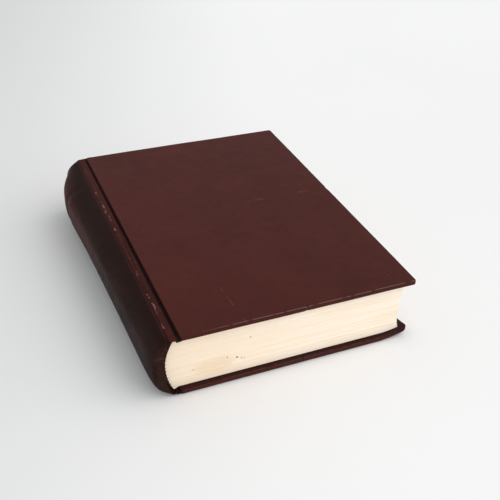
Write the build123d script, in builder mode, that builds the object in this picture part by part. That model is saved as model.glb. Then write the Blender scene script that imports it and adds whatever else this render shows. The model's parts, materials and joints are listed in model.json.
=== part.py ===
from build123d import *
from math import asin, cos, degrees, radians, sin, sqrt
import os

# A small prayer book bound in leather: two boards, a rounded hollow spine and a sewn block of thin paper.
#
# Frame: +X runs from the spine to the fore edge, +Y from the tail to the head, +Z up from the table.
# The closed book lies on its back cover, and the origin is the middle of its footprint on the table.
# "Reach" is a distance in X from the hinge line, the line about which both covers turn.
# "Depth" is a distance inwards from the outer face of a cover, and "height" is one above the table.

# ---------------------------------------------------------------- covers
cover_height = 180.0         # tail to head
board_reach = 124.8          # hinge line to the fore edge of the cover
skin = 0.4                   # leather, pared thin
board_thickness = 1.8
corner_round = 2.6           # seen from above, at the two fore-edge corners
edge_round = 0.8             # where the leather wraps over an edge of the board
turn_in = 15.0               # leather folded over to the inside of the board
pastedown_thickness = 0.15
pastedown_margin = 4.0       # bare turn-in left around the pasted paper
hinge_gap = 0.1              # free space between the hinge line and what turns

# ---------------------------------------------------------------- spine of the case
spine_reach = 17.0           # hinge line to the outermost line of the round, hollow spine
ridge_start = 1.2            # hinge line to the foot of the ridge beside the groove
ridge_crest = 2.0            # hinge line to the start of the ridge's flat top
ridge_end = 5.8              # hinge line to where the ridge turns into the round spine
groove_depth = 1.3
crest_depth = 0.35           # the ridge's top lies this much below the cover's face
shoulder_depth = 0.5
crest_round = 0.8
spine_edge_round = 1.5
inlay_thickness = 0.9
inlay_half_angle = 52.0      # of the spine's round
cap_thickness = 0.8          # leather doubled at the head and tail, where it closes the hollow spine
cap_clearance = 0.3          # between a cap and the lining on the pages' back

# ---------------------------------------------------------------- paper
end_square = 3.0             # cover past the pages at head and tail
fore_square = 4.6            # cover past the pages at the fore edge
fore_edge_hollow = 1.9       # depth of the concave fore edge
section_count = 12
section_thickness = 1.94
leaf_bundle_thickness = 0.8  # a bundle of leaves that turns as one
front_bundle_count = 5
back_bundle_count = 2
flyleaf_thickness = 0.2
turning_gap = 0.05           # between sheets that turn apart

# ---------------------------------------------------------------- rounded and backed spine of the pages
shoulder_reach = 2.5         # hinge line to the outer folds, which lean over the boards
back_reach = 6.6             # hinge line to the middle folds
shoulder_flare = 1.2         # rise of the outer folds above the flat pages

# ---------------------------------------------------------------- sewing and linings
tape_width = 12.0
tape_spacing = 45.0
tape_count = 3
tape_thickness = 0.3
tape_end_thickness = 0.2
tape_end_length = 28.0
thread_width = 0.6
thread_clearance = 0.1
kettle_inset = 10.0          # end of the pages to the kettle stitch
mull_thickness = 0.2
mull_flap_length = 22.0
mull_inset = 17.0            # end of the pages to the end of the mull
lining_thickness = 0.3
lining_inset = 1.0
lining_half_angle_margin = 1.5

# ---------------------------------------------------------------- worked out from the sizes above
wrapped_thickness = skin + board_thickness + skin
cover_thickness = wrapped_thickness + pastedown_thickness
front_leaf_stack = flyleaf_thickness + front_bundle_count * leaf_bundle_thickness
front_leaf_stack += (front_bundle_count + 2) * turning_gap
back_leaf_stack = flyleaf_thickness + back_bundle_count * leaf_bundle_thickness
back_leaf_stack += (back_bundle_count + 2) * turning_gap
pages_thickness = section_count * section_thickness + front_leaf_stack + back_leaf_stack
book_thickness = pages_thickness + 2 * cover_thickness
middle = book_thickness / 2
hinge_x = (spine_reach - board_reach) / 2
half_cover = cover_height / 2
half_pages = half_cover - end_square
pages_reach = board_reach - fore_square
mull_outer = tape_thickness + mull_thickness     # from the folds to the outside of the mull

# The folds of the pages lie on one arc, from the lower shoulder to the upper one.
half_block = pages_thickness / 2 - turning_gap
half_back = half_block + shoulder_flare
back_sagitta = back_reach - shoulder_reach
back_radius = (half_back**2 + back_sagitta**2) / (2 * back_sagitta)
back_centre = back_radius - back_reach
back_half_angle = degrees(asin(half_back / back_radius))

# The fore edge is hollow by the same action.
fore_radius = (half_block**2 + fore_edge_hollow**2) / (2 * fore_edge_hollow)

# The leather of the spine is an arc between the two ridges.
half_spine = middle - shoulder_depth
spine_sagitta = spine_reach - ridge_end
spine_radius = (half_spine**2 + spine_sagitta**2) / (2 * spine_sagitta)
spine_centre = spine_radius - spine_reach

os.makedirs("parts", exist_ok=True)


def keep(piece, name):
    """Label a finished piece and write it."""
    piece.part.label = name
    export_step(piece.part, f"parts/{name}.step")


def plan(height):
    """The horizontal plane at a height, measured from the hinge line."""
    return Plane(origin=(hinge_x, 0, height))


def end_view(y=0.0):
    """The upright plane across the book: its x is the reach and its y is the height."""
    return Plane(origin=(hinge_x, y, 0), x_dir=(1, 0, 0), z_dir=(0, -1, 0))


def heights(side, outer_depth, inner_depth):
    """The lower and upper height of a layer of one cover, given by its depths."""
    if side == "back":
        return outer_depth, inner_depth
    return book_thickness - inner_depth, book_thickness - outer_depth


def fore_edge(height):
    """Reach of the pages' fore edge at a height: an arc that is hollow at the middle."""
    off_middle = height - middle
    rise = fore_radius - sqrt(fore_radius**2 - off_middle**2)
    return pages_reach - fore_edge_hollow + rise


def fold(height, radius=back_radius):
    """The point on the pages' rounded back that a flat height leads to."""
    angle = radians(back_half_angle * (height - middle) / half_block)
    return (back_centre - radius * cos(angle), middle + radius * sin(angle))


def slab(near, far, half_length, low, high):
    """A flat rectangular layer of a cover or a leaf."""
    with BuildPart() as piece:
        with BuildSketch(plan(low)):
            with Locations(((near + far) / 2, 0)):
                Rectangle(far - near, 2 * half_length)
        extrude(amount=high - low)
    return piece


def rounded_slab(side, near, far, half_length, depths, corner, rim):
    """A board or its wrapping. Its fore corners are rounded, and every rim but the inner hinge one."""
    low, high = heights(side, *depths)
    with BuildPart() as piece:
        with BuildSketch(plan(low)) as outline:
            with Locations(((near + far) / 2, 0)):
                Rectangle(far - near, 2 * half_length)
            fillet(outline.vertices().group_by(Axis.X)[-1], corner)
        extrude(amount=high - low)
        flat = piece.faces().filter_by(Plane.XY).sort_by(Axis.Z)
        outer, inner = (flat[-1], flat[0]) if side == "front" else (flat[0], flat[-1])
        rims = outer.edges() + inner.edges().sort_by(Axis.X)[1:]
        fillet(rims, rim)
    return piece


def back_band(inner, outer, half_angle, low_y, high_y):
    """A strip that follows the pages' rounded back, between two distances from the folds."""
    angle = radians(half_angle)
    ends = [(back_radius + lift) for lift in (inner, outer)]
    points = [[(back_centre - r * cos(a), middle + r * sin(a)) for a in (-angle, 0, angle)] for r in ends]
    with BuildPart() as piece:
        with BuildSketch(end_view(high_y)):
            with BuildLine():
                ThreePointArc(*points[0])
                Line(points[0][2], points[1][2])
                ThreePointArc(*points[1])
                Line(points[1][0], points[0][0])
            make_face()
        extrude(amount=high_y - low_y)
    return piece


tape_stations = [tape_spacing * (i - (tape_count - 1) / 2) for i in range(tape_count)]


# ================================================================ covers
def make_cover(side):
    """One cover: board, leather with its turn-ins, filling between them, mull flap, tape ends, pastedown."""
    board_near = hinge_gap + skin
    board = rounded_slab(
        side,
        board_near,
        board_reach - skin,
        half_cover - skin,
        (skin, skin + board_thickness),
        corner_round - skin,
        edge_round - skin,
    )
    keep(board, f"{side}_board")

    leather = rounded_slab(
        side, hinge_gap, board_reach, half_cover, (0, wrapped_thickness), corner_round, edge_round
    )
    window_far = board_reach - turn_in
    window_half = half_cover - turn_in
    low, high = heights(side, skin + board_thickness, wrapped_thickness)
    window = slab(hinge_gap, window_far, window_half, low, high)
    with BuildPart() as cover_leather:
        add(leather.part)
        add(board.part, mode=Mode.SUBTRACT)
        add(window.part, mode=Mode.SUBTRACT)
    keep(cover_leather, f"{side}_cover_leather")

    glued_depth = skin + board_thickness + tape_end_thickness
    flap_depths = (glued_depth, wrapped_thickness)
    flap = slab(hinge_gap, mull_flap_length, half_pages - mull_inset, *heights(side, *flap_depths))
    keep(flap, f"{side}_mull_flap")

    tape_depths = (skin + board_thickness, glued_depth)
    tape_low, tape_high = heights(side, *tape_depths)
    with BuildPart() as tape_ends:
        with BuildSketch(plan(tape_low)):
            with Locations(*[((hinge_gap + tape_end_length) / 2, y) for y in tape_stations]):
                Rectangle(tape_end_length - hinge_gap, tape_width)
        extrude(amount=tape_high - tape_low)
    keep(tape_ends, f"{side}_tape_ends")

    with BuildPart() as infill:
        add(window.part)
        add(flap.part, mode=Mode.SUBTRACT)
        add(tape_ends.part, mode=Mode.SUBTRACT)
    keep(infill, f"{side}_infill")

    pastedown = slab(
        hinge_gap,
        board_reach - pastedown_margin,
        half_cover - pastedown_margin,
        *heights(side, wrapped_thickness, cover_thickness),
    )
    keep(pastedown, f"{side}_pastedown")


make_cover("back")
make_cover("front")


# ================================================================ leaves that turn
def leaf_sheet(low, high):
    """A flyleaf or a bundle of leaves, from the hinge line to the hollow fore edge."""
    with BuildPart() as piece:
        with BuildSketch(end_view()):
            with BuildLine():
                Polyline(
                    (hinge_gap, low),
                    (fore_edge(low), low),
                    (fore_edge(high), high),
                    (hinge_gap, high),
                    close=True,
                )
            make_face()
        extrude(amount=half_pages, both=True)
    return piece


def leaf_depths(bundle_count):
    """Depths of the flyleaf and of each bundle behind one cover, from the cover inwards."""
    depth = cover_thickness + turning_gap
    bands = [(depth, depth + flyleaf_thickness)]
    depth += flyleaf_thickness + turning_gap
    for _ in range(bundle_count):
        bands.append((depth, depth + leaf_bundle_thickness))
        depth += leaf_bundle_thickness + turning_gap
    return bands


def make_folds(side, bands):
    """The folded inner edges of the turning leaves, which stay in the spine when the leaves turn."""
    low, high = heights(side, bands[0][0], bands[-1][1] + turning_gap)
    with BuildPart() as folds:
        with BuildSketch(end_view()):
            with BuildLine():
                Line((0, low), (0, high))
                Line((0, high), fold(high))
                ThreePointArc(fold(high), fold((low + high) / 2), fold(low))
                Line(fold(low), (0, low))
            make_face()
        extrude(amount=half_pages, both=True)
    keep(folds, f"{side}_leaf_folds")


def make_leaves(side, bundle_count):
    """The flyleaf, the bundles and their folds behind one cover."""
    bands = leaf_depths(bundle_count)
    keep(leaf_sheet(*heights(side, *bands[0])), f"{side}_flyleaf")
    for number, band in enumerate(bands[1:], start=1):
        keep(leaf_sheet(*heights(side, *band)), f"{side}_leaves_{number}")
    make_folds(side, bands)


make_leaves("back", back_bundle_count)
make_leaves("front", front_bundle_count)


# ================================================================ sewn sections
def make_section(low, high):
    """One folded section: flat to the fore edge, and fanned towards its place on the rounded back."""
    centre = (low + high) / 2
    with BuildPart() as piece:
        with BuildSketch(end_view()):
            with BuildLine():
                Line((0, low), (fore_edge(low), low))
                ThreePointArc(
                    (fore_edge(low), low),
                    (fore_edge(centre), centre),
                    (fore_edge(high), high),
                )
                Line((fore_edge(high), high), (0, high))
                Line((0, high), fold(high))
                ThreePointArc(fold(high), fold(centre), fold(low))
                Line(fold(low), (0, low))
            make_face()
        extrude(amount=half_pages, both=True)
    return piece


first_section = cover_thickness + back_leaf_stack
for number in range(section_count):
    section_low = first_section + number * section_thickness
    section = make_section(section_low, section_low + section_thickness)
    keep(section, f"section_{number + 1:02d}")


# ================================================================ sewing and linings on the back
half_tape = tape_width / 2
with BuildPart() as sewing_tapes:
    for station in tape_stations:
        tape = back_band(0, tape_thickness, back_half_angle, station - half_tape, station + half_tape)
        add(tape.part)
keep(sewing_tapes, "sewing_tapes")

thread_offset = half_tape + thread_clearance + thread_width / 2
thread_lines = [station + sign * thread_offset for station in tape_stations for sign in (-1, 1)]
thread_lines += [-(half_pages - kettle_inset), half_pages - kettle_inset]
half_thread = thread_width / 2
thread_half_angle = back_half_angle * (half_block - back_leaf_stack) / half_block
with BuildPart() as sewing_thread:
    for line in thread_lines:
        stitch = back_band(0, tape_thickness, thread_half_angle, line - half_thread, line + half_thread)
        add(stitch.part)
keep(sewing_thread, "sewing_thread")

lining_half_angle = back_half_angle - lining_half_angle_margin
half_mull = half_pages - mull_inset
mull_spine = back_band(tape_thickness, mull_outer, back_half_angle, -half_mull, half_mull)
keep(mull_spine, "mull_spine")

half_lining = half_pages - lining_inset
lining_outer = mull_outer + lining_thickness
spine_lining = back_band(mull_outer, lining_outer, lining_half_angle, -half_lining, half_lining)
keep(spine_lining, "spine_lining")


# ================================================================ spine of the case
crest = book_thickness - crest_depth
shoulder = book_thickness - shoulder_depth
foot = book_thickness - groove_depth

# The spine's outer outline, closed along the feet of the two ridges.
with BuildSketch() as spine_outline:
    with BuildLine():
        Polyline((-ridge_start, foot), (-ridge_crest, crest), (-ridge_end, shoulder))
        ThreePointArc((-ridge_end, shoulder), (-spine_reach, middle), (-ridge_end, shoulder_depth))
        Polyline(
            (-ridge_end, shoulder_depth),
            (-ridge_crest, crest_depth),
            (-ridge_start, groove_depth),
            (-ridge_start, foot),
        )
    make_face()
    fillet(spine_outline.vertices().group_by(Axis.X)[0], spine_edge_round)
    fillet(spine_outline.vertices().group_by(Axis.X)[-2], crest_round)

with BuildPart() as spine_leather:
    with BuildSketch(end_view()):
        add(spine_outline.sketch_local)
        offset(amount=-skin, kind=Kind.INTERSECTION, mode=Mode.SUBTRACT)
        with Locations((-ridge_start, middle)):
            Rectangle(4 * skin, foot - groove_depth - 2 * skin, mode=Mode.SUBTRACT)
    extrude(amount=half_cover, both=True)
    for cap_end in (half_cover, cap_thickness - half_cover):
        with BuildSketch(end_view(cap_end)):
            add(spine_outline.sketch_local)
            with Locations((back_centre, middle)):
                Circle(back_radius + lining_outer + cap_clearance, mode=Mode.SUBTRACT)
        extrude(amount=cap_thickness)
keep(spine_leather, "spine_leather")

inlay_angle = radians(inlay_half_angle)
inlay_radii = (spine_radius - skin - inlay_thickness, spine_radius - skin)
inlay_points = [
    [(spine_centre - r * cos(a), middle + r * sin(a)) for a in (-inlay_angle, 0, inlay_angle)]
    for r in inlay_radii
]
with BuildPart() as spine_inlay:
    with BuildSketch(end_view()):
        with BuildLine():
            ThreePointArc(*inlay_points[0])
            Line(inlay_points[0][2], inlay_points[1][2])
            ThreePointArc(*inlay_points[1])
            Line(inlay_points[1][0], inlay_points[0][0])
        make_face()
    extrude(amount=half_cover - cap_thickness, both=True)
keep(spine_inlay, "spine_inlay")

for side in ("back", "front"):
    groove_low, groove_high = heights(side, groove_depth, groove_depth + skin)
    joint_leather = slab(-ridge_start, 0, half_cover, groove_low, groove_high)
    keep(joint_leather, f"{side}_joint_leather")

book_width = board_reach + spine_reach
print(f"hinge line at x {hinge_x:.3f}, book {book_thickness:.3f} thick, {book_width:.1f} wide")
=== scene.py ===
# %% [markdown]
# # A small leather prayer book
# The book lies closed on its back cover. A real one is a thick block of thin paper, sewn and rounded,
# held in a case of two boards that one skin of dark leather covers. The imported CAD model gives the
# frame: every size and place below comes from it, and the surfaces that show are made again here as
# fine meshes.

# %% The frame
import json

import bmesh
import bpy
import numpy as np
from mathutils import Matrix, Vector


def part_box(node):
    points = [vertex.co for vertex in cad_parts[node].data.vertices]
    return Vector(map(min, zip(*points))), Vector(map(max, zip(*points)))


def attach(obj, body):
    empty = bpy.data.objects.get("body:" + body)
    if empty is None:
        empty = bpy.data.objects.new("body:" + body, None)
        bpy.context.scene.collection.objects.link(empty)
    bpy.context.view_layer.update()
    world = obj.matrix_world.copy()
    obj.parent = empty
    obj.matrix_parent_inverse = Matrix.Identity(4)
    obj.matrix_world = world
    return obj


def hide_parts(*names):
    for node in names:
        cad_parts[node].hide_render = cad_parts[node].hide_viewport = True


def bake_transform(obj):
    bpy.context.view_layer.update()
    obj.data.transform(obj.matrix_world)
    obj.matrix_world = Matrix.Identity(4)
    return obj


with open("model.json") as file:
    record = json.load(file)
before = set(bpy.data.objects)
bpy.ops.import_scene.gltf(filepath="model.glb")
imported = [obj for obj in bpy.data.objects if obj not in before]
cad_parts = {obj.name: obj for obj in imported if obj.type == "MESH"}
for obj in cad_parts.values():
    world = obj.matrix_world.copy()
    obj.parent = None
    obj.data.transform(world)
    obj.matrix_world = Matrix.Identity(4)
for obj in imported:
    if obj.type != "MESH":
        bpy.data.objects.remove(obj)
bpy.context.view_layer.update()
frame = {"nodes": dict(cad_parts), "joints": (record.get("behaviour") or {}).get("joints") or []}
MM = 0.001

# %% [markdown]
# ## Measures from the frame
# A bookbinder measures from the joint, so a point here is (reach, y, z) in millimetres: reach is the
# distance from the hinge line towards the fore edge, y runs from tail to head, and z is the height
# above the table.

# %% Measures
joints = {joint["name"]: joint for joint in frame["joints"]}
hinge_x, _, top = np.array(joints["front_joint"]["pos_m"]) / MM


def extent(node):
    """Lowest and highest corner of a CAD node, in (reach, y, z) millimetres."""
    low, high = (np.array(corner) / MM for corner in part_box(node))
    return low - (hinge_x, 0, 0), high - (hinge_x, 0, 0)


wrap_low, wrap_high = extent("back_cover_leather")
joint_gap, cover_reach, half_cover = wrap_low[0], wrap_high[0], wrap_high[1]
wrapped = wrap_high[2]
skin = extent("back_board")[0][2]
paste_top = extent("back_pastedown")[1][2]
block_reach, half_pages, _ = extent("section_06")[1]
middle = top / 2
print(f"cover {cover_reach:.1f} x {2 * half_cover:.1f} mm, book {top:.2f} mm thick, leather {skin:.1f} mm")

# %% [markdown]
# ## A mesh from grids of points
# Each surface is a function of two parameters, worked out as a whole array on a grid. Several grids
# that share their borders are welded into one closed skin. Blender then turns every face outwards,
# because on a closed skin it can tell the inside from the outside.


# %% Weld grids into a closed piece
def weld(points, faces):
    """Points that agree to a hundredth of a micrometre become one, and the faces follow them."""
    _, first, where = np.unique(np.round(points, 5), axis=0, return_index=True, return_inverse=True)
    return first, where.reshape(-1)[faces]


def grid_faces(rows, columns, start=0):
    """The four corners of every face of a grid whose points are numbered row by row."""
    index = start + np.arange(rows * columns).reshape(rows, columns)
    return np.stack([index[:-1, :-1], index[1:, :-1], index[1:, 1:], index[:-1, 1:]], -1).reshape(-1, 4)


def six_sides(block):
    """The outer grids of a block of points: both ends of each of its three directions."""
    return [block[:, :, 0], block[:, :, -1], block[0], block[-1], block[:, 0], block[:, -1]]


def make_piece(name, grids, finishes, tags=None, leaf=None):
    """A closed mesh object from grids of (reach, y, z) points. tags numbers each grid's material, and leaf
    gives the height of every point in the flat block."""
    points, faces, marks, start = [], [], [], 0
    for number, grid in enumerate(grids):
        rows, columns = grid.shape[:2]
        faces.append(grid_faces(rows, columns, start))
        marks.append(np.full(len(faces[-1]), tags[number] if tags else 0))
        points.append(grid.reshape(-1, grid.shape[2]))
        start += rows * columns
    points, faces, marks = map(np.concatenate, (points, faces, marks))
    first, faces = weld(points[:, :3], faces)
    places = (points[first][:, :3] + (hinge_x, 0, 0)) * MM
    mesh = bpy.data.meshes.new(name)
    mesh.from_pydata(places, [], faces)
    mesh.polygons.foreach_set("material_index", marks.astype(np.int32))
    if leaf is not None:
        heights = np.concatenate([grid.reshape(-1) for grid in leaf])[first]
        attribute = mesh.attributes.new("leaf", "FLOAT", "POINT")
        attribute.data.foreach_set("value", heights.astype(np.float32))
    for finish in finishes:
        mesh.materials.append(finish)
    skin_mesh = bmesh.new()
    skin_mesh.from_mesh(mesh)
    bmesh.ops.recalc_face_normals(skin_mesh, faces=skin_mesh.faces)
    open_edges = sum(not edge.is_manifold for edge in skin_mesh.edges)
    skin_mesh.to_mesh(mesh)
    skin_mesh.free()
    mesh.shade_smooth()
    mesh.set_sharp_from_angle(angle=np.radians(50))
    piece = bpy.data.objects.new(name, mesh)
    bpy.context.scene.collection.objects.link(piece)
    print(f"{name}: {len(places)} points, {open_edges} open edges")
    return piece


# %% [markdown]
# ## Shader maths in Python
# A finish is a small sum: a little lighter here, a dark line there. So a number in a shader is wrapped
# in a class that knows +, - and *, and each sign adds one Math node.


# %% A number in a shader
def plug(tree, entry, value):
    """Links a socket to a node's entry, or sets the entry to a plain value."""
    if isinstance(value, Number):
        value = value.socket
    if isinstance(value, bpy.types.NodeSocket):
        tree.links.new(value, entry)
    else:
        entry.default_value = value


class Number:
    """A socket that Python's signs work on."""

    def __init__(self, tree, socket):
        self.tree, self.socket = tree, socket

    def math(self, operation, *others):
        node = self.tree.nodes.new("ShaderNodeMath")
        node.operation = operation
        for entry, value in zip(node.inputs, (self, *others)):
            plug(self.tree, entry, value)
        return Number(self.tree, node.outputs[0])

    def __add__(self, other):
        return self.math("ADD", other)

    def __sub__(self, other):
        return self.math("SUBTRACT", other)

    def __mul__(self, other):
        return self.math("MULTIPLY", other)

    def __rsub__(self, other):
        return self * -1 + other

    def __abs__(self):
        return self.math("ABSOLUTE")

    __radd__, __rmul__ = __add__, __mul__


# %% A finish being mixed
def colour(red, green, blue):
    """A screen colour, 0 to 255, as the linear colour that Blender mixes with."""
    screen = np.array([red, green, blue]) / 255
    linear = np.where(screen <= 0.04045, screen / 12.92, ((screen + 0.055) / 1.055) ** 2.4)
    return (*linear.tolist(), 1.0)


class Finish:
    """One material: a Principled shader, and the sums that feed it."""

    def __init__(self, name, **constants):
        self.material = bpy.data.materials.new(name)
        self.material.use_nodes = True
        self.tree = self.material.node_tree
        self.shader = self.tree.nodes["Principled BSDF"]
        for entry, value in constants.items():
            self.shader.inputs[entry.replace("_", " ")].default_value = value
        self.place = self.node("TexCoord", output="Object")
        axes = [self.node("SeparateXYZ", values={0: self.place}, output=axis) for axis in range(3)]
        self.reach = axes[0] * (1 / MM) - hinge_x
        self.y, self.z = axes[1] * (1 / MM), axes[2] * (1 / MM)

    def node(self, kind, settings=None, values=None, output=0):
        """Any other node, from its kind, its settings and the values of its sockets."""
        node = self.tree.nodes.new("ShaderNode" + kind)
        for key, value in (settings or {}).items():
            setattr(node, key, value)
        for key, value in (values or {}).items():
            plug(self.tree, node.inputs[key], value)
        return Number(self.tree, node.outputs[output])

    def vector(self, operation, first, second):
        return self.node("VectorMath", {"operation": operation}, {0: first, 1: second})

    def distance(self, place, point):
        return self.node("VectorMath", {"operation": "DISTANCE"}, {0: place, 1: point}, output="Value")

    def scaled(self, size, stretch):
        """Object coordinates counted in blobs of a size in millimetres, stretched along each axis."""
        return self.vector("MULTIPLY", self.place, [1 / (MM * size * pull) for pull in stretch])

    def noise(self, size, stretch=(1, 1, 1), detail=2.0):
        values = {"Vector": self.scaled(size, stretch), "Scale": 1.0, "Detail": detail}
        return self.node("TexNoise", values=values)

    def cells(self, size, feature="F1"):
        values = {"Vector": self.scaled(size, (1, 1, 1)), "Scale": 1.0}
        return self.node("TexVoronoi", {"feature": feature}, values)

    def step(self, value, low, high):
        """0 below low, 1 above high, smooth between; the other way round if low is the larger."""
        settings = {"interpolation_type": "SMOOTHSTEP", "clamp": True}
        if low < high:
            return self.node("MapRange", settings, {"Value": value, "From Min": low, "From Max": high})
        turned = {"Value": value, "From Min": high, "From Max": low, "To Min": 1.0, "To Max": 0.0}
        return self.node("MapRange", settings, turned)

    def near(self, value, centre, width):
        """1 on a line, falling to 0 at a width from it."""
        return self.step(abs(value - centre), width, 0.3 * width)

    def mix(self, factor, first, second):
        return self.node("Mix", {"data_type": "RGBA"}, {0: factor, 6: first, 7: second}, output=2)

    def bump(self, height, distance):
        """Presses a height, in units of distance millimetres, into the shader's normal."""
        previous = self.shader.inputs["Normal"]
        values = {"Height": height, "Distance": distance * MM}
        if previous.is_linked:
            values["Normal"] = previous.links[0].from_socket
        plug(self.tree, previous, self.node("Bump", values=values))

    def feed(self, **sums):
        for entry, value in sums.items():
            plug(self.tree, self.shader.inputs[entry.replace("_", " ")], value)
        return self.material


# %% [markdown]
# ## Finishes: leather
# The covers are smooth calf, dyed a dark maroon. Up close it has a fine grain of pores and a soft
# mottle, the edges are rubbed grey in short dashes, and the face has a few pinprick specks and faint
# creases from use. The spine is handled most and has gone nearly black, with a reddish rub where it
# stands out furthest. A painted texture could show all this, but sums of noise stay sharp at any
# distance and fit any size.


# %% Leather grain and wear
NICK_REACH, KNOCK_Y = 63.8, 7.8
CREASE_Y, CREASE_STARTS, CREASE_ENDS = 9.0, (58, 66), (116, 108)
SCRATCH_REACH, SCRATCH_SLANT, SCRATCH_ENDS = 25.2, 0.075, (-60, -66)


def grain(finish, depth):
    """Fine leather grain: rounded pebbles under half a millimetre, softer swells and a few open pores."""
    pebbles = finish.cells(0.42, "SMOOTH_F1")
    swells = finish.noise(2.6, detail=3.0)
    pores = finish.step(finish.cells(1.15), 0.13, 0.04)
    finish.bump(pebbles * -0.6 + finish.noise(0.9) * 0.5 - pores * 0.5, depth)
    finish.bump(swells, depth * 2.2)
    return pores


def specks(finish, spacing, size):
    """A few pale pinpricks: the middles of widely spaced cells, kept where a slow noise allows them."""
    dots = finish.step(finish.cells(spacing), size / spacing, 0.4 * size / spacing)
    return dots * finish.step(finish.noise(3 * spacing), 0.5, 0.56)


print("leather helpers ready")


# %% Cover leather
def under_face(finish):
    """Millimetres under the nearer outer face of the book."""
    return middle - abs(finish.z - middle)


def cover_leather(name):
    """Maroon cover leather, with rubbed edges, faint creases and specks, painted shade on the turned-in
    leather and a painted contact shadow along the bottom rim.
    """
    finish = Finish(name, IOR=1.42, Specular_IOR_Level=0.1)
    pores = grain(finish, 0.022)
    mottle = finish.noise(26, detail=4.0) * 0.42 + finish.noise(5, detail=3.0) * 0.34
    mottle = mottle + finish.noise(0.8) * 0.24
    base = finish.mix(finish.step(mottle, 0.3, 0.7), colour(64, 26, 21), colour(74, 31, 25))
    stain = finish.step(finish.noise(40, (1.6, 1, 1), detail=3.0), 0.5, 0.72)
    base = finish.mix(stain * 0.14, base, colour(52, 26, 23))

    edge = (half_cover - abs(finish.y)).math("MINIMUM", cover_reach - finish.reach)
    dashes = finish.step(finish.noise(2.2, (2.4, 2.4, 1), detail=2.0), 0.39, 0.47)
    rub = finish.near(edge, 0.45, 0.26) * dashes * finish.step(finish.reach, 2, 36)
    chips = specks(finish, 3.4, 0.36) * finish.step(edge, 1.2, 0.4)
    base = finish.mix(rub * 0.75, base, colour(112, 96, 90))
    base = finish.mix(chips * 0.6, base, colour(128, 104, 96))

    broken = finish.step(finish.noise(3.0, (2.5, 1, 1)), 0.48, 0.6)
    crease = finish.near(finish.y + finish.noise(9) * 1.2, CREASE_Y, 0.42) * broken
    crease = crease * finish.step(finish.reach, *CREASE_STARTS) * finish.step(finish.reach, *CREASE_ENDS)
    scratch = finish.near(finish.reach + finish.y * SCRATCH_SLANT, SCRATCH_REACH, 0.24)
    scratch = scratch * finish.step(finish.y, *SCRATCH_ENDS)
    scratch = scratch * finish.step(finish.noise(2.4), 0.45, 0.6)
    marks = specks(finish, 17, 0.34).math("MAXIMUM", crease * 0.42).math("MAXIMUM", scratch * 0.45)
    base = finish.mix(marks, base, colour(128, 88, 80))
    # Painted shade: the turned-in leather and inner faces, deeper than 2.5 mm under the outer face, are
    # darkened.
    base = finish.mix(finish.step(under_face(finish), 2.42, 2.56) * 0.7, base, colour(34, 16, 14))
    nick = finish.near(finish.reach, NICK_REACH, 0.7)
    nick = nick * finish.step(finish.y, 2.2 - half_cover, 1.2 - half_cover)
    base = finish.mix(nick * 0.8, base, colour(30, 16, 14))
    # Painted contact shadow: the lowest millimetre of the back cover, where it meets the table, is darkened.
    base = finish.mix(finish.step(finish.z, 1.0, 0.4) * 0.65, base, colour(26, 13, 11))
    base = finish.mix(pores * 0.35, base, colour(44, 22, 20))
    rough = finish.noise(7, detail=3.0) * 0.2 + 0.42 + rub * 0.2 + marks * 0.15
    return finish.feed(Base_Color=base, Roughness=rough)


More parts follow.
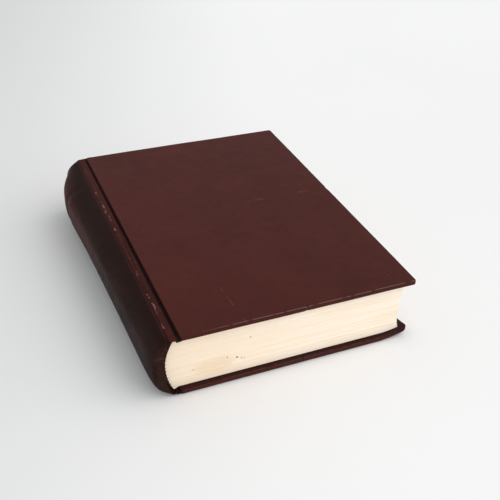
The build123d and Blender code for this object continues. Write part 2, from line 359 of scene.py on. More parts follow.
# %% Spine leather
def spine_leather(name):
    """Nearly black spine leather, maroon on the flat ridges, rubbed reddish where it stands proud, with
    painted shade in the joint grooves.
    """
    finish = Finish(name, IOR=1.42, Specular_IOR_Level=0.04)
    pores = grain(finish, 0.028)
    mottle = finish.noise(14, (1, 3, 1), detail=4.0) * 0.6 + finish.noise(2.4, detail=3.0) * 0.4
    base = finish.mix(finish.step(mottle, 0.35, 0.68), colour(36, 23, 19), colour(49, 33, 29))
    fine = finish.step(finish.noise(0.7, (1, 1.6, 1), detail=3.0), 0.5, 0.7)
    near_tail = finish.step(finish.y, -30, -85) * 0.3
    base = finish.mix(near_tail, base, colour(32, 20, 17))
    rubbed = finish.step(finish.reach + finish.noise(9) * 1.2, -16.2, -17.4)
    base = finish.mix(rubbed * 0.5, base, colour(74, 33, 28))
    proud = finish.step(finish.reach, -15.2, -18.6)
    head = finish.step(finish.y, 30, 86) * finish.step(finish.reach, -9, -14)
    base = finish.mix((proud * 0.2).math("MAXIMUM", head * 0.8) * fine, base, colour(88, 46, 40))
    base = finish.mix(head * 0.4, base, colour(72, 38, 34))
    welt = finish.near(finish.z, 25.2, 0.55) * finish.step(finish.noise(4, (1, 3, 1)), 0.42, 0.56)
    base = finish.mix(welt * 0.35, base, colour(98, 46, 40))

    from_face = under_face(finish)
    ridge = finish.step(from_face, 1.9, 1.1) * finish.step(finish.reach, -6.7, -6.0)
    flat = finish.mix(finish.step(mottle, 0.35, 0.7), colour(50, 23, 20), colour(66, 31, 26))
    base = finish.mix(ridge, base, flat)
    slanted = finish.reach + 2.4 - finish.y * 0.0375
    crease = finish.near(slanted, 0.0, 0.34) * finish.step(finish.y, 12, -6) * ridge
    base = finish.mix(crease * 0.8, base, colour(26, 15, 14))
    shade = finish.step(from_face, 6.5, 1.6) * (1 - ridge)
    base = finish.mix(shade * 0.75, base, colour(32, 17, 13))
    border = finish.near(finish.reach + finish.noise(5) * 0.8, -5.0, 0.8) * ridge
    base = finish.mix(border * 0.6, base, colour(32, 16, 14))
    worn = finish.near(finish.reach + finish.noise(8) * 1.8, -3.4, 0.8) * ridge
    worn = worn * finish.step(finish.noise(2.6, (1, 1.7, 1), detail=4.0), 0.55, 0.64)
    base = finish.mix(worn * 0.7, base, colour(122, 92, 86))
    ends = finish.step(abs(finish.y), half_cover - 1.6, half_cover - 0.3)
    base = finish.mix(ends * fine * 0.5, base, colour(92, 50, 44))
    # Painted shade: leather down in the joint groove, on the spine's foot and on the joint strips, is made
    # near black, less so towards the head.
    groove = finish.step(finish.reach, -1.75, -1.35)
    groove = groove * (1 - finish.step(finish.y, 10, 80) * 0.45)
    base = finish.mix(groove, base, colour(24, 14, 13))
    base = finish.mix(pores * 0.4, base, colour(20, 13, 12))
    rough = finish.noise(6, detail=3.0) * 0.22 + 0.36 + worn * 0.25
    return finish.feed(Base_Color=base, Roughness=rough)


leather = cover_leather("maroon cover leather")
dark_leather = spine_leather("dark spine leather")
print("leathers mixed:", leather.name, "and", dark_leather.name)

# %% [markdown]
# ## Finishes: paper, cloth and board
# The edge of the closed pages is hundreds of cut sheets. Its colour is fine streaks that run along the
# sheets, so the pattern is read from an attribute that counts millimetres through the block and stays
# with the sheets where they bend. The flat sides of the leaves are plain, slightly fibrous cream paper.


# %% Page edges
STREAKS_ALONG, FINE_STREAKS, WIDE_STREAKS = 30.0, 7.0, 1.3
PATCH_REACH, PATCH_Z, PATCH_LENGTH, PATCH_HEIGHT = 16.9, 10.5, 13, 5
EDGE_SPECKS = (
    (24.3, 13.3, 0.5),
    (29.3, 11.9, 0.75),
    (31.7, 11.0, 0.5),
    (33.1, 10.2, 0.4),
    (35.9, 22.5, 0.5),
    (7.1, 10.8, 0.45),
)


def page_edges(name):
    """Cut edges of thin pages: streaks along the sheets, darker lines of painted shade between sheets, warm
    stains and specks of dust.
    """
    finish = Finish(name, Roughness=0.86, Specular_IOR_Level=0.15)
    leaf = finish.node("Attribute", {"attribute_name": "leaf"}, output="Fac")
    along = finish.vector("MULTIPLY", finish.place, (STREAKS_ALONG, STREAKS_ALONG, 0.0))
    sheet = finish.node("CombineXYZ", values={2: leaf})
    fine_place = finish.vector("ADD", along, finish.vector("MULTIPLY", sheet, (1.0, 1.0, FINE_STREAKS)))
    wide_place = finish.vector("ADD", along, finish.vector("MULTIPLY", sheet, (1.0, 1.0, WIDE_STREAKS)))
    fine = finish.node("TexNoise", values={"Vector": fine_place, "Scale": 1.0, "Detail": 3.0})
    wide = finish.node("TexNoise", values={"Vector": wide_place, "Scale": 1.0, "Detail": 2.0})
    tone = finish.step(fine * 0.5 + wide * 0.5, 0.36, 0.62)
    base = finish.mix(tone, colour(252, 232, 208), colour(255, 243, 226))
    # Painted shade: darker lines where the fine streaks are faintest, for the shade in the gaps between
    # sheets.
    sheet_gap_shade = finish.step(fine, 0.40, 0.30)
    base = finish.mix(sheet_gap_shade * 0.2, base, colour(222, 186, 150))
    base = finish.mix(finish.step(finish.reach, 75, 5) * 0.55, base, colour(247, 224, 196))
    oval = {0: finish.reach * (1 / PATCH_LENGTH), 2: finish.z * (1 / PATCH_HEIGHT)}
    centre = (PATCH_REACH / PATCH_LENGTH, 0.0, PATCH_Z / PATCH_HEIGHT)
    from_patch = finish.distance(finish.node("CombineXYZ", values=oval), centre)
    patch = finish.step(from_patch + finish.noise(6, detail=3.0), 1.7, 1.0)
    base = finish.mix(patch * 0.5, base, colour(240, 211, 176))
    dust = specks(finish, 5.5, 0.3) * 0.65
    flat = finish.node("CombineXYZ", values={0: finish.reach, 2: finish.z})
    for reach, z, size in EDGE_SPECKS:
        speck = finish.step(finish.distance(flat, (reach, 0.0, z)), size, 0.4 * size)
        dust = dust.math("MAXIMUM", speck * finish.step(finish.y, 0, -1))
    base = finish.mix(dust, base, colour(124, 122, 118))
    finish.bump(fine, 0.05)
    return finish.feed(Base_Color=base)


edge_paper = page_edges("cut page edges")
print("page edges mixed, with", len(EDGE_SPECKS), "specks")


# %% Plain paper, cloth and board
def plain_paper(name, light, dark, tooth):
    """The flat side of a sheet: cream, with a faint cloudiness and the tooth of the fibres."""
    finish = Finish(name, Roughness=0.88, Specular_IOR_Level=0.2)
    cloud = finish.noise(22, detail=4.0) * 0.6 + finish.noise(1.4, (3, 1, 1), detail=3.0) * 0.4
    foxing = finish.step(finish.cells(21), 0.1, 0.02) * finish.step(finish.noise(44), 0.5, 0.6)
    base = finish.mix(finish.step(cloud, 0.3, 0.7), dark, light)
    base = finish.mix(foxing * 0.35, base, colour(205, 166, 118))
    finish.bump(finish.noise(0.5, (2, 1, 1), detail=4.0), tooth)
    return finish.feed(Base_Color=base)


def woven(name, light, dark, pitch, depth):
    """Plain weave: warp and weft as two crossing waves, with thread-by-thread differences of tone."""
    finish = Finish(name, Roughness=0.9)
    turn = 2 * np.pi / pitch
    warp = (finish.reach * turn).math("SINE")
    weft = (finish.y * turn).math("SINE")
    threads = warp * weft * 0.5 + 0.5
    base = finish.mix(threads * 0.6 + finish.noise(pitch, (4, 1, 1)) * 0.4, dark, light)
    finish.bump(threads, depth)
    return finish.feed(Base_Color=base)


def board_finish(name):
    """Grey millboard: pressed fibres, flecks of darker pulp."""
    finish = Finish(name, Roughness=0.92)
    pulp = finish.noise(1.1, (2, 2, 1), detail=5.0)
    fleck = finish.step(finish.cells(1.8), 0.16, 0.05)
    base = finish.mix(finish.step(pulp, 0.35, 0.65), colour(134, 126, 113), colour(162, 152, 137))
    base = finish.mix(fleck * 0.5, base, colour(92, 84, 74))
    finish.bump(pulp, 0.05)
    return finish.feed(Base_Color=base)


leaf_paper = plain_paper("book paper", colour(252, 238, 216), colour(245, 229, 203), 0.02)
end_paper = plain_paper("endpaper", colour(247, 235, 213), colour(238, 223, 196), 0.03)
fill_paper = plain_paper("filling paper", colour(210, 201, 184), colour(196, 186, 166), 0.04)
kraft = plain_paper("brown lining paper", colour(126, 104, 82), colour(110, 90, 70), 0.04)
millboard = board_finish("grey millboard")
gauze = woven("cotton gauze", colour(232, 226, 212), colour(206, 198, 180), 0.9, 0.08)
linen = woven("linen tape", colour(234, 226, 206), colour(208, 196, 170), 0.5, 0.06)
thread = woven("waxed thread", colour(236, 230, 214), colour(206, 196, 172), 0.35, 0.05)
print("finishes mixed:", len(bpy.data.materials))

# %% [markdown]
# ## Carried-over CAD pieces
# The inside of the binding never changes its shape: boards, gauze flaps, tapes, stitches and linings
# stay the CAD solids, and only take their finish.

# %% Finish the inner pieces
inner_finishes = {
    "front_board": millboard,
    "front_infill": fill_paper,
    "front_mull_flap": gauze,
    "back_mull_flap": gauze,
    "mull_spine": gauze,
    "front_tape_ends": linen,
    "back_tape_ends": linen,
    "sewing_tapes": linen,
    "sewing_thread": thread,
    "spine_lining": kraft,
}
for node_name, finish_used in inner_finishes.items():
    materials = frame["nodes"][node_name].data.materials
    materials.clear()
    materials.append(finish_used)
print("finished", len(inner_finishes), "CAD pieces")

# %% [markdown]
# ## Outlines and rings
# A cover is a rounded rectangle seen from above. Rings of that outline, one inside or under another,
# are the easiest way to carry leather over a rim: the flat face is a grid, and each ring continues it
# down the side and back under.

# %% Rounded outline and the grid inside it
ARC_POINTS = 5


def spaced(count):
    """Even steps between 0 and 1, without the ends."""
    return np.arange(1, count) / count


def outline(near, far, low, high, near_round, far_round, steps):
    """A closed rounded rectangle. Each side starts and ends halfway round a corner's arc."""
    rounds = np.array([near_round, far_round, far_round, near_round])
    signs = np.array([(1, 1), (-1, 1), (-1, -1), (1, -1)])
    corners = np.array([(near, low), (far, low), (far, high), (near, high)])
    centres = corners + signs * rounds[:, None]
    halfway = np.radians([225, 315, 405, 495])
    half_corner = np.linspace(0, np.pi / 4, ARC_POINTS + 1)
    sides = []
    for side in range(4):
        following = (side + 1) % 4
        away = halfway[side] + half_corner
        into = halfway[side] + np.pi / 2 - half_corner[::-1]
        leave = centres[side] + rounds[side] * np.stack([np.cos(away), np.sin(away)], -1)
        arrive = centres[following] + rounds[following] * np.stack([np.cos(into), np.sin(into)], -1)
        part = steps[side % 2][:, None]
        straight = leave[-1] * (1 - part) + arrive[0] * part
        sides.append(np.concatenate([leave, straight, arrive[:-1]]))
    return sides


def fill_outline(sides):
    """A grid inside an outline: opposite sides bridged both ways, less the bridge of the corners."""
    closed = [np.concatenate([side, sides[(k + 1) % 4][:1]]) for k, side in enumerate(sides)]
    tail, fore, head, hinge = closed[0], closed[1], closed[2][::-1], closed[3][::-1]
    across = ((tail[:, 0] - tail[0, 0]) / (tail[-1, 0] - tail[0, 0]))[:, None, None]
    along = ((fore[:, 1] - fore[0, 1]) / (fore[-1, 1] - fore[0, 1]))[None, :, None]
    ends = tail[:, None] * (1 - along) + head[:, None] * along
    edges = hinge[None] * (1 - across) + fore[None] * across
    first = tail[0] * (1 - along) + head[0] * along
    last = tail[-1] * (1 - along) + head[-1] * along
    return ends + edges - (first * (1 - across) + last * across)


def with_height(flat, height):
    """Adds a z to an array of (reach, y)."""
    return np.concatenate([flat, np.broadcast_to(height, flat.shape[:-1])[..., None]], -1)


print("outline helpers ready")

# %% [markdown]
# ## Wear in the shape
# The corner of the back cover at the tail has been bent up, and the lowest pages with it. The front
# cover has a small nick in its tail edge and a knock in its fore edge. These are pushes on the finished
# points, so that leather, board and paper are pushed alike.

# %% Bent corner, nick and knock
CURL_SIZE, CURL_HEIGHT, CURL_PAGES = 17.0, 3.2, 10.0


def bell(value, centre, width):
    """1 at the centre, falling smoothly to 0 on both sides."""
    return np.exp(-(((value - centre) / width) ** 2))


def curl(points):
    """Lifts the tail fore corner: most at the corner, dying away with distance from it and with height."""
    reach, y, z = points[..., 0], points[..., 1], points[..., 2]
    from_corner = (cover_reach - reach) + (y + half_cover)
    lift = CURL_HEIGHT * np.clip(1 - from_corner / CURL_SIZE, 0, 1) ** 1.5
    fading = np.clip(1 - (z - paste_top) / CURL_PAGES, 0, 1) ** 2
    moved = points.copy()
    moved[..., 2] += lift * np.where(z < paste_top, 1.0, fading)
    return moved


def knocks(points):
    """A nick in the tail edge and a knock in the fore edge, both narrow bells, and a slow sway of it all."""
    reach, y, z = points[..., 0], points[..., 1], points[..., 2]
    moved = points.copy()
    tail = np.clip(1 - (y + half_cover) / 3.5, 0, 1)
    moved[..., 1] += 0.35 * bell(reach, NICK_REACH, 0.9) * tail
    moved[..., 2] -= 0.3 * bell(reach, NICK_REACH, 1.4) * tail * (z > top - 1.5)
    fore = np.clip(1 - (cover_reach - reach) / 4, 0, 1)
    moved[..., 0] -= 0.38 * bell(y, KNOCK_Y, 1.6) * fore
    sway = 0.07 * np.sin(reach / 15 + 1.3) * np.sin(y / 21 + 0.4)
    moved[..., 2] += sway + 0.03 * np.sin(reach / 6 + y / 9)
    return moved


def by_depth(side, points):
    """Turns the third number from a depth under a cover's outer face into a height, and adds the wear."""
    if side == "back":
        return curl(points)
    turned = points.copy()
    turned[..., 2] = top - points[..., 2]
    return knocks(turned)


print("wear helpers ready")

# %% [markdown]
# ## Cover leather
# One skin goes over the board's face, round its rim and 15 mm back along the inside. It is pared to
# under half a millimetre, and it is made as a real shell, outside and inside, so that the board fits in
# it.

# %% Cover skins
RIM, TURN_IN, HINGE_CORNER = 0.6, 15.0, 0.95
CORNERS = {"front": 1.6, "back": 3.2}
cover_steps = (spaced(84), spaced(120))
turn_in_parts = np.linspace(0, 1, 21)[1:]


def cover_ring(inset, depth, corner):
    """The cover's outline at a depth, drawn in by an inset, but at the hinge by little more than the rim."""
    at_hinge = joint_gap + min(inset, RIM) + 0.01 * max(inset - RIM, 0)
    tail, far = -half_cover + inset, cover_reach - inset
    near_round, far_round = max(HINGE_CORNER - inset, 0.2), max(corner - inset, 0.25)
    return outline(at_hinge, far, tail, -tail, near_round, far_round, cover_steps), depth


def close_ring(ring):
    """The ring's points as one closed row."""
    sides, depth = ring
    row = np.concatenate(sides + [sides[0][:1]])
    return with_height(row, depth)


def quarter(count):
    """Sine and cosine from 0 to a right angle."""
    angle = np.linspace(0, np.pi / 2, count)
    return np.sin(angle), np.cos(angle)


def cover_shell(side):
    """Face, rim, side, lower rim, turn-in and the same again on the board's side, one skin thickness in."""
    sine, cosine = quarter(6)
    inner = RIM - skin
    outer_path = [(RIM * (1 - s), RIM * (1 - c)) for s, c in zip(sine, cosine)]
    outer_path += [(RIM * (1 - c), wrapped - RIM * (1 - s)) for s, c in zip(sine, cosine)]
    outer_path += [(RIM + (TURN_IN - RIM) * part, wrapped) for part in turn_in_parts]
    inner_path = [(RIM + (TURN_IN - RIM) * part, wrapped - skin) for part in turn_in_parts[::-1]]
    inner_path += [(RIM - inner * s, wrapped - skin - inner * (1 - c)) for s, c in zip(sine, cosine)]
    inner_path += [(RIM - inner * c, RIM - inner * s) for s, c in zip(sine, cosine)]
    rings = [cover_ring(*station, CORNERS[side]) for station in outer_path + inner_path]
    tube = np.stack([close_ring(ring) for ring in rings])
    face = with_height(fill_outline(rings[0][0]), outer_path[0][1])
    lining = with_height(fill_outline(rings[-1][0]), inner_path[-1][1])
    grids = [by_depth(side, grid) for grid in (face, tube, lining)]
    piece = make_piece(f"{side}_cover_skin", grids, [leather])
    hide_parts(f"{side}_cover_leather")
    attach(piece, f"{side}_cover")


for side_name in ("front", "back"):
    cover_shell(side_name)

# %% [markdown]
# ## The bent back board
# Board, filling and pasted paper inside the back cover follow the bent corner, so they are made here as
# thin slabs that take the same push.

# %% Slabs of the back cover
slab_steps = (spaced(60), spaced(88))


def bent_slab(name, node, rounding, finish):
    """A slab with a CAD node's extent and rounded corners, pushed up with the corner."""
    low, high = extent(node)
    sides = outline(low[0], high[0], low[1], high[1], 0.2, rounding, slab_steps)
    walls = np.stack([close_ring((sides, height)) for height in (low[2], high[2])])
    flats = [with_height(fill_outline(sides), height) for height in (low[2], high[2])]
    piece = make_piece(name, [curl(grid) for grid in (walls, *flats)], [finish])
    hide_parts(node)
    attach(piece, "back_cover")


bent_slab("back_board_bent", "back_board", CORNERS["back"] - skin, millboard)
bent_slab("back_filling_bent", "back_infill", 0.3, fill_paper)

# %% [markdown]
# ## The rounded back of the pages
# Rounding and backing the sewn block hammers its folds into an arc, so every sheet fans from its flat
# height to its place on that arc. The arc is found from the CAD sections: how far their folds reach at
# the middle and at the shoulder.

# %% Fan and fore edge
fold_middle = -extent("section_06")[0][0]
shoulder_z = extent("front_leaf_folds")[1][2]
shoulder_reach = 2.5
first_z, last_z = paste_top, top - paste_top
half_back = shoulder_z - middle
sagitta = fold_middle - shoulder_reach
back_radius = (half_back**2 + sagitta**2) / (2 * sagitta)
back_centre = back_radius - fold_middle
half_angle = np.arcsin(half_back / back_radius)
half_block = last_z - middle - 0.05
hollow = extent("front_flyleaf")[1][0] - block_reach
fore_radius = (half_block**2 + hollow**2) / (2 * hollow)
print(f"back arc radius {back_radius:.1f} mm, half angle {np.degrees(half_angle):.1f} degrees")


def fold_place(z):
    """Where a sheet of flat height z has its fold: the same share of the arc as of the block's thickness."""
    angle = half_angle * (z - middle) / half_block
    return back_centre - back_radius * np.cos(angle), middle + back_radius * np.sin(angle)


def fore_place(z):
    """Reach of the hollow fore edge at a height: an arc of the block's own rounding."""
    return block_reach + fore_radius - np.sqrt(fore_radius**2 - (z - middle) ** 2)


def smooth(part):
    """Rises from 0 to 1 with no slope at either end."""
    part = np.clip(part, 0, 1)
    return part * part * (3 - 2 * part)


# %% [markdown]
# ## Paper blocks
# A section is not a smooth brick: each cut sheet ends a few hundredths of a millimetre from its
# neighbour, its fold is round, and the flat sheets wave slightly. The same function makes a sewn
# section, a bundle of leaves that turns, and a single flyleaf. Modelling every sheet would take
# millions of faces, so one block stands for the sheets and only its ends are stepped.

# %% Paper block
PAST_FAN = 20.0
chance = np.random.default_rng(29)
near_hinge = np.arange(0, 10, 1.0)
flat_share = np.concatenate([near_hinge, np.linspace(10, block_reach, 40)]) / block_reach
fan_share = np.linspace(-1, 0, 9)[:-1]
page_y = np.linspace(-half_pages, half_pages, 73)


def waves(reach, y, z):
    """Slow waves in the sheets, nothing at the covers and most in the middle of the block."""
    free = np.clip((z - first_z) * (last_z - z) / half_block**2, 0, 1)
    return 0.16 * free * np.sin(reach / 19 + z / 9 + 0.7) * np.cos(y / 31 + z / 13)


def cut_relief(count):
    """How far each cut sheet stands from the trimmed plane: steps of a few hundredths of a millimetre."""
    return np.repeat(chance.normal(0, 0.035, count // 2 + 1), 2)[:count]


def paper_grid(low, high, shares, ys, levels, ends, round_fold):
    """Places for every (share along the sheet, y, level). Shares below 0 lie in the fan behind the hinge
    line, where the sheet's height is eased from flat to its place on the rounded back."""
    share, y, level = np.meshgrid(shares, ys, levels, indexing="ij")
    z = low + (high - low) * level
    fold_reach, fold_z = fold_place(z)
    groove = round_fold * np.abs(2 * level - 1) ** 3
    flat = np.clip(share, 0, 1) * fore_place(z)
    fanned = np.clip(-share, 0, 1) * (-fold_reach - groove)
    reach = flat - fanned
    rise = (fold_z - z) * smooth(-share)
    tail_cut, head_cut, fore_cut = (np.interp(levels, np.linspace(0, 1, len(cut)), cut) for cut in ends)
    y = y + np.where(y <= -half_pages, tail_cut[None, None, :], 0) + np.where(y >= half_pages, head_cut, 0)
    reach = reach + np.where(share >= 1, fore_cut[None, None, :] + 0.05 * np.sin(y / 17), 0)
    points = np.stack([reach, y, z + rise + waves(reach, y, z)], -1)
    return curl(points), z


def paper_block(name, low, high, finish_flat, slot, level_count, round_fold):
    """A closed block of sheets: two flat sides and four cut or folded edges."""
    shares = np.concatenate([fan_share, flat_share])
    levels = np.linspace(0, 1, level_count)
    ends = [cut_relief(level_count) for _ in range(3)]
    places, heights = paper_grid(low, high, shares, page_y, levels, ends, round_fold)
    tags = [0, 0, 1, 1, 1, 1]
    return make_piece(name, six_sides(places), [finish_flat, edge_paper], tags, six_sides(heights))


def flat_extent(node):
    """Flat height range of a leaf or a section, read from the fore-edge end of its CAD node."""
    mesh = frame["nodes"][node].data
    places = np.array([vertex.co for vertex in mesh.vertices]) / MM
    fore = places[places[:, 0] - hinge_x > PAST_FAN]
    return fore[:, 2].min(), fore[:, 2].max()


# %% Sewn sections
section_nodes = sorted(name for name in frame["nodes"] if name.startswith("section_"))
for node_name in section_nodes:
    block = paper_block(f"{node_name}_sheets", *flat_extent(node_name), leaf_paper, "book_paper", 17, 0.45)
    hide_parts(node_name)
    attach(block, "text_block")

# %% [markdown]
# ## Leaves that turn
# On the book the first and last leaves turn with the covers, held at their fold. Here each is made as a
# block like the sections, and its placement is baked into its points.


def bend(piece):
    """Bakes a piece's placement into its points; it does not bend the piece."""
    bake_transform(piece)


leaf_nodes = sorted(name for name in frame["nodes"] if "_leaves_" in name or name.endswith("_flyleaf"))
for node_name in leaf_nodes:
    side = node_name.split("_")[0]
    single = node_name.endswith("_flyleaf")
    look = (end_paper, "endpaper", 2, 0.1) if single else (leaf_paper, "book_paper", 9, 0.25)
    block = paper_block(f"{node_name}_sheets", *flat_extent(node_name), *look)
    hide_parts(node_name, f"{side}_leaf_folds")
    bend(block)

# %% [markdown]
# ## Endpapers over the joint
# The pasted half of each endpaper runs from the board across the joint into the back of the book, and
# it is what is seen in the joint when the cover is open.

# %% Endpapers
PASTE_START = -0.45
paste_share = np.concatenate([near_hinge, np.linspace(10, block_reach, 110)]) / block_reach


def endpaper(side):
    """The pasted endpaper: a sheet on the board that continues a little way into the fan."""
    low, high = extent(f"{side}_pastedown")
    shares = np.concatenate([[PASTE_START, PASTE_START / 2], paste_share])
    share, y, level = np.meshgrid(shares, np.linspace(low[1], high[1], 151), [0.0, 1.0], indexing="ij")
    z = low[2] + (high[2] - low[2]) * level
    inside = np.clip(z, first_z, last_z)
    _, fold_z = fold_place(inside)
    reach = np.clip(share, 0, 1) * high[0] - np.clip(-share, 0, 1) * shoulder_reach
    places = np.stack([reach, y, z + (fold_z - inside) * smooth(-share)], -1)
    places = curl(places) if side == "back" else places
    piece = make_piece(f"{side}_endpaper", six_sides(places), [end_paper])
    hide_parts(f"{side}_pastedown")
    return piece


bend(endpaper("front"))
bend(endpaper("back"))

# %% [markdown]
# ## Spine of the case
# The leather of the hollow spine stands round behind the pages. Its outline is a steep arch that is
# fullest above the middle of the book, it is pinched at the tail, swells slowly towards the head and
# drops again just before it, and at each end the leather turns in and closes the hollow. Beside each
# joint it is pressed into a flat ridge. An outline swept along the book could not change on its way, so
# the skin is worked out from formulas in the height and the place along the book.

# %% Swell of the spine
RIDGE_FOOT, RIDGE_CREST, RIDGE_END = 1.2, 2.0, 5.8
FOOT_DEPTH, CREST_DEPTH, SHOULDER_DEPTH = 1.3, 0.3, 0.6
END_ROUND, CAP_THICKNESS = 2.0, 0.8
ARCH_POWER = 3.4
RIDGE_TURN = 0.84
LINING_CLEAR, CAP_SKIN = 1.15, 0.5
BULGE_TAIL, BULGE_SLOPE, BULGE_LEAST = 8.4, 0.0345, 7.2
SWELL_PLACE, DENT_PLACE, DROP_PLACE = 143, 147, 140
FULLEST_TAIL, FULLEST_RISE, FULLEST_SAG = 17.75, 10.64, 4.55


def bulge(y):
    """How far the spine stands out past the ridges: a slow swell with a dent in it, a pinch at the tail and
    a drop at the head."""
    from_tail = y + half_cover
    swell = BULGE_TAIL + BULGE_SLOPE * from_tail + 0.5 * bell(from_tail, SWELL_PLACE, 22)
    swell = swell - 0.8 * bell(from_tail, DENT_PLACE, 2.6)
    tail_pinch = 2.1 * np.exp(-from_tail / 3.5)
    head_drop = 7.2 * np.clip((from_tail - DROP_PLACE) / 36, 0, 2) ** 3
    return np.maximum(swell - tail_pinch - head_drop, BULGE_LEAST)


def fullest(y):
    """Height at which the spine stands out furthest: above the middle, and most so halfway along."""
    along = (y + half_cover) / half_cover
    return FULLEST_TAIL + FULLEST_RISE * along - FULLEST_SAG * along**2


print(f"halfway along, the spine stands {bulge(0.0):.1f} mm past its ridges")


# %% Outline of the spine
def spine_outline(turn, y):
    """The outline at y. turn runs from -1 at the back cover's ridge to 1 at the front's. The arch is a high
    power of the height from its fullest line, and past RIDGE_TURN the turn runs along a ridge."""
    arch = np.clip(turn / RIDGE_TURN, -1, 1)
    low, high = SHOULDER_DEPTH, top - SHOULDER_DEPTH
    centre = fullest(y)
    angle = arch * np.pi / 2
    z = np.where(arch > 0, centre + (high - centre) * np.sin(angle), centre + (centre - low) * np.sin(angle))
    share = np.abs(np.sin(angle))
    stand = bulge(y) * (1 - share**ARCH_POWER)
    reach = -RIDGE_END - stand
    side = np.sign(turn)
    ridge = np.clip((np.abs(turn) - RIDGE_TURN) / (1 - RIDGE_TURN), 0, 1)
    top_part, foot_part = smooth(ridge / 0.62), smooth((ridge - 0.62) / 0.38)
    closing = 0.75 * smooth((y + half_cover) / (2 * half_cover)) * top_part
    reach = reach + (RIDGE_END - RIDGE_CREST) * top_part + (RIDGE_CREST - RIDGE_FOOT) * foot_part + closing
    depth = SHOULDER_DEPTH + (CREST_DEPTH - SHOULDER_DEPTH) * top_part
    depth = depth + (FOOT_DEPTH - CREST_DEPTH) * foot_part
    z = np.where(ridge > 0, np.where(side > 0, top - depth, depth), z)
    pinch = np.exp(-(half_cover - np.abs(y)) / 1.6) * np.where(ridge > 0, 1.0, share**6)
    pinch = pinch * np.where(y > 0, 0.3, 1.0)
    z = z - side * 0.9 * pinch
    reach = reach + 0.4 * pinch * (-reach - RIDGE_FOOT)
    return reach, z


def inner_outline(turn, y, thickness):
    """The outline moved inwards along its own normal, found from its slope."""
    reach, z = spine_outline(turn, y)
    d_reach, d_z = np.gradient(reach, axis=0), np.gradient(z, axis=0)
    length = np.hypot(d_reach, d_z) + 1e-9
    return reach + d_z / length * thickness, z - d_reach / length * thickness


def cap_edge(turn, y):
    """Where the turned-in leather ends: on the lining of the pages' back, or just under a ridge."""
    angle = np.clip(turn / RIDGE_TURN, -1, 1) * half_angle
    radius = back_radius + LINING_CLEAR
    arc = np.stack([back_centre - radius * np.cos(angle), middle + radius * np.sin(angle)], -1)
    under = np.stack(inner_outline(turn[:, None], y, CAP_SKIN), -1)[:, 0]
    share = smooth((np.abs(turn) - RIDGE_TURN) / 0.08)[:, None]
    return arc * (1 - share) + under * share


print("outline of the spine ready")


# %% Ends and skin of the spine
def spine_cap(turn, sign):
    """Round of the end, flat of the turned-in leather, its edge at the pages, and back under it."""
    start, stop = half_cover - END_ROUND, half_cover
    column = np.full((len(turn), 1), float(sign))
    at_start = np.stack(spine_outline(turn[:, None], column * start), -1)[:, 0]
    at_stop = np.stack(spine_outline(turn[:, None], column * stop), -1)[:, 0]
    edge = cap_edge(turn, column * stop)
    way = edge - at_stop
    room = np.hypot(*way.T)[:, None]
    depth = np.minimum(END_ROUND, 0.42 * room)
    sine, cosine = quarter(7)
    rows = [
        (at_start * (1 - s) + at_stop * s + way / room * depth * (1 - c), start + END_ROUND * s)
        for s, c in zip(sine[1:], cosine[1:])
    ]
    last = rows[-1][0]
    for part in (0.3, 0.62, 0.88, 1.0):
        rows.append((last * (1 - part) + edge * part, stop - 0.25 * np.sin(np.pi * part) - 0.1 * part))
    rows.append((edge, stop - CAP_THICKNESS))
    rows.append((last * 0.62 + edge * 0.38, stop - CAP_THICKNESS - 0.1))
    cap = [np.stack([place[:, 0], np.full(len(turn), sign * y), place[:, 1]], -1) for place, y in rows]
    return np.stack(cap, 1)


def close_loops(loops, lead):
    """A tube of closed loops, with a strip over each end, where the rolled loop folds flat on itself."""
    rolled = np.roll(loops, lead, axis=1)
    tube = np.concatenate([rolled, rolled[:, :1]], 1)
    half = rolled.shape[1] // 2
    strips = [np.stack([row[:half], row[::-1][:half]]) for row in (rolled[0], rolled[-1])]
    return [tube, *strips]


def spine_shell(turn, half_length, depths, capped):
    """A skin along the book between two depths under the outline, with or without turned-in ends."""
    turns, y = np.meshgrid(turn, np.linspace(-half_length, half_length, 121), indexing="ij")
    layers = []
    for depth in depths:
        reach, z = inner_outline(turns, y, depth)
        layers.append(np.stack([reach, y, z], -1))
    outside, inside = layers
    if not capped:
        return close_loops(np.concatenate([outside, inside[:, ::-1]], 1), 0)
    head, tail = (spine_cap(turn, sign) for sign in (1, -1))
    loops = np.concatenate([outside, head, inside[:, ::-1], tail[:, ::-1]], 1)
    return close_loops(loops, head.shape[1] // 2)


# %% Spine and its card
arch_turns = RIDGE_TURN * np.linspace(-1, 1, 73)
ridge_turns = np.linspace(RIDGE_TURN, 1, 14)[1:]
turn_stations = np.concatenate([-ridge_turns[::-1], arch_turns, ridge_turns])
grids = spine_shell(turn_stations, half_cover - END_ROUND, (0.0, 0.45), True)
spine_skin = make_piece("spine_skin", grids, [dark_leather])
grids = spine_shell(np.linspace(-0.6, 0.6, 41), half_cover - 3.0, (0.55, 1.4), False)
spine_card = make_piece("spine_inlay_card", grids, [kraft])
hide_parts("spine_leather")
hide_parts("spine_inlay")
for piece in (spine_skin, spine_card):
    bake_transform(piece)

# %% [markdown]
# ## Joint leather
# In each groove the same leather is only a strip, pressed down against the edge of the text block. On
# the book the front strip bends as the cover opens; here it is only baked in place. The back strip lies
# between the back cover and the foot of the spine, which stay together.

# %% Joint strips
STRIP_NEAR, STRIP_FAR = -1.9, 0.75


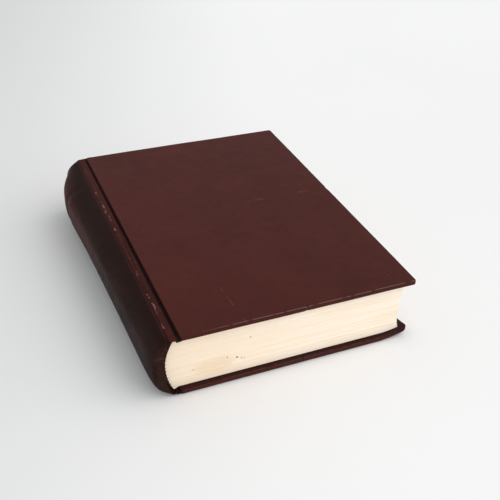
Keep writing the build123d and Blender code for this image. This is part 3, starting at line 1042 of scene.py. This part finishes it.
def joint_strip(side):
    """A strip of leather across the groove, tucked a little under the ridge and under the cover's edge."""
    along = np.linspace(-half_cover + 0.2, half_cover - 0.2, 121)
    across = np.linspace(STRIP_NEAR, STRIP_FAR, 19)
    reach, y, depth = np.meshgrid(across, along, [0.0, skin], indexing="ij")
    sink = FOOT_DEPTH + 0.12 * np.sin(y / 13) ** 2 + 0.25 * (reach / STRIP_NEAR) ** 2 + depth
    end = bell(np.abs(y), half_cover, 2.5)
    sink = sink - 0.75 * end + 1.6 * end**2 * (depth > 0)
    places = np.stack([reach, y, top - sink if side == "front" else sink], -1)
    piece = make_piece(f"{side}_joint_strip", six_sides(places), [dark_leather])
    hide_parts(f"{side}_joint_leather")
    return piece


bend(joint_strip("front"))
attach(joint_strip("back"), "back_cover")

# %% [markdown]
# ## Floor, light and camera
# The book lies on a plain pale surface. A painted falloff of the light darkens it a little past the
# spine. A broad soft light comes from high on the fore-edge side, so that the shadow falls softly past
# the spine, and a pale world fills the rest.

# %% Floor
FLOOR_SIZE, FLOOR_DROP = 60.0, 0.0002
along = np.linspace(-0.5, 0.5, 9) * FLOOR_SIZE
across, deep = np.meshgrid(along, along, indexing="ij")
floor_places = np.stack([across, deep, np.full_like(across, -FLOOR_DROP)], -1).reshape(-1, 3)
floor_mesh = bpy.data.meshes.new("floor")
floor_mesh.from_pydata(floor_places, [], grid_faces(9, 9))
floor = bpy.data.objects.new("floor", floor_mesh)
bpy.context.scene.collection.objects.link(floor)
surface = Finish("pale floor", Roughness=0.7, Specular_IOR_Level=0.1)
cloud = surface.step(surface.noise(420, detail=2.0), 0.3, 0.7)
pale = surface.mix(cloud, colour(236, 235, 234), colour(239, 238, 237))
# Painted shade: the floor darkens towards the spine side and a little towards the far side, as the light
# falls off.
painted_falloff = surface.step(surface.y * 0.35 - surface.reach, -150, 250)
pale = surface.mix(painted_falloff, pale, colour(205, 205, 204))
from_book = surface.distance(surface.place, (0.0, 0.0, 0.0))
pale = surface.mix(surface.step(from_book, 1.0, 4.0), pale, colour(205, 206, 208))
floor_mesh.materials.append(surface.feed(Base_Color=pale))
print("floor laid")


# %% Lights
def soft_light(name, place, spread, strength, tint):
    """A light so far that it falls alike everywhere. spread is the angle in degrees that it fills."""
    data = bpy.data.lights.new(name, "SUN")
    data.angle, data.energy, data.color = np.radians(spread), strength, tint
    light = bpy.data.objects.new(name, data)
    away = np.array(place) / np.linalg.norm(place)
    side = np.cross((0, 0, 1), away)
    side /= np.linalg.norm(side)
    turn = np.eye(4)
    turn[:3, 0], turn[:3, 1], turn[:3, 2], turn[:3, 3] = side, np.cross(away, side), away, place
    light.matrix_world = Matrix(turn.tolist())
    bpy.context.scene.collection.objects.link(light)


soft_light("key", (0.99, -0.68, 1.02), 72, 1.5, (1.0, 0.99, 0.98))
world = bpy.data.worlds.new("studio")
world.use_nodes = True
world.node_tree.nodes["Background"].inputs["Color"].default_value = (0.96, 0.98, 1.0, 1.0)
world.node_tree.nodes["Background"].inputs["Strength"].default_value = 0.8
bpy.context.scene.world = world
bpy.context.scene.view_settings.view_transform = "Standard"
print("lights set")

# %% Camera
CAMERA_LENS, CAMERA_SENSOR = 56.441, 36.0
CAMERA_PLACE = (-0.137913, -0.342924, 0.266589)
CAMERA_RIGHT = np.array([0.919503, -0.390988, 0.040523])
CAMERA_LOOK = np.array([0.343522, 0.749180, -0.566324])
camera_data = bpy.data.cameras.new("camera")
camera_data.lens, camera_data.sensor_width = CAMERA_LENS, CAMERA_SENSOR
camera_data.clip_start = 0.01
camera = bpy.data.objects.new("camera", camera_data)
pose = np.eye(4)
pose[:3, 0], pose[:3, 1], pose[:3, 2] = CAMERA_RIGHT, np.cross(CAMERA_RIGHT, CAMERA_LOOK), -CAMERA_LOOK
pose[:3, 3] = CAMERA_PLACE
camera.matrix_world = Matrix(pose.tolist())
bpy.context.scene.collection.objects.link(camera)
bpy.context.scene.camera = camera
print("camera placed")
